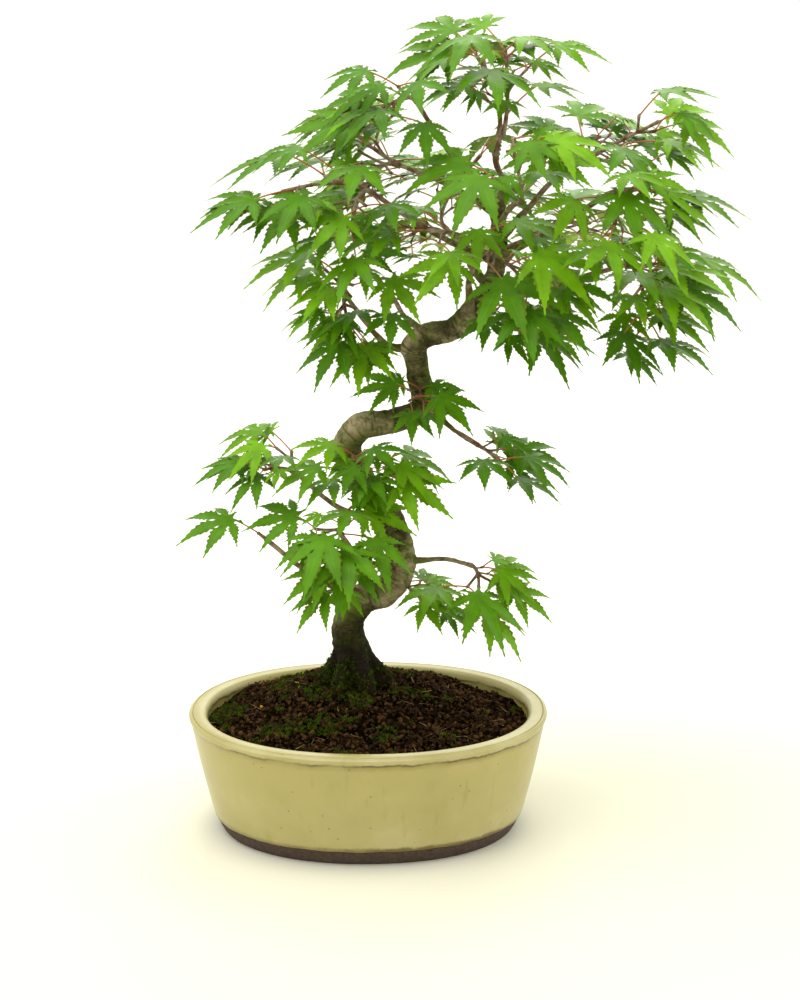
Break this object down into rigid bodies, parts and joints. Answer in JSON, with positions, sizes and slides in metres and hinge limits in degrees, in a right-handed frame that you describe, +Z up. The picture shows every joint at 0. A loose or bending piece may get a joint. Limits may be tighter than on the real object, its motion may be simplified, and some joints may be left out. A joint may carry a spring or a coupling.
{
  "type": "bonsai tree in a pot",
  "caption": "Japanese maple grown as a bonsai: winding trunk, airy crown of palmate green leaves, oval cream-glazed pot with an unglazed foot.",
  "frame": {"origin": "middle of the pot's flat underside", "axes": "+Z up along the tree's height, the longest extent; +X along the pot's length, to the viewer's right in the picture; -Y to the side the picture was taken from"},
  "size_m": [0.3503, 0.2775, 0.4909],
  "materials": {
    "glaze": "cream-yellow stoneware glaze, breaking darker under the lip, over an unglazed dark foot",
    "soil": "damp dark brown granular soil with moss",
    "bark": "smooth grey-brown bark with green film and fissures at the foot",
    "twig_bark": "thin red-brown young bark",
    "foliage": "fresh green thin leaves on reddish stalks"
  },
  "bodies": {
    "root": {"pot": "glaze", "soil": "soil", "trunk": "bark", "bough_low_left": "twig_bark", "bough_left": "twig_bark", "bough_front_low": "twig_bark", "bough_right_low": "twig_bark", "bough_right_mid": "twig_bark", "bough_mid_left": "twig_bark", "bough_inner_left": "twig_bark", "second_leader": "twig_bark", "bough_left_long": "twig_bark", "bough_left_upper": "twig_bark", "bough_upper_left": "twig_bark", "bough_top": "twig_bark", "bough_right_upper": "twig_bark", "bough_right_main": "twig_bark", "bough_right_under": "twig_bark", "bough_back_left": "twig_bark", "bough_back_right": "twig_bark", "bough_front": "twig_bark", "leaves_low_left_outer": "foliage", "leaves_low_left_under": "foliage", "leaves_left_upright": "foliage", "leaves_left_outer": "foliage", "leaves_front_low": "foliage", "leaves_right_low": "foliage", "leaves_right_low_inner": "foliage", "leaves_right_mid": "foliage", "leaves_trunk_right": "foliage", "leaves_bend_front": "foliage", "leaves_mid_left_outer": "foliage", "leaves_mid_left_under": "foliage", "leaves_inner_left": "foliage", "leaves_centre_left": "foliage", "leaves_centre_right": "foliage", "leaves_left_long_tip": "foliage", "leaves_left_long_under": "foliage", "leaves_left_upper": "foliage", "leaves_left_back": "foliage", "leaves_upper_left": "foliage", "leaves_apex": "foliage", "leaves_apex_right": "foliage", "leaves_right_upper": "foliage", "leaves_right_upper_back": "foliage", "leaves_right_outer": "foliage", "leaves_right_front": "foliage", "leaves_right_low_outer": "foliage", "leaves_right_low_under": "foliage", "leaves_right_inner": "foliage", "leaves_back_left": "foliage", "leaves_back_right": "foliage", "leaves_back_top": "foliage", "leaves_front_top": "foliage"}
  },
  "joints": []
}
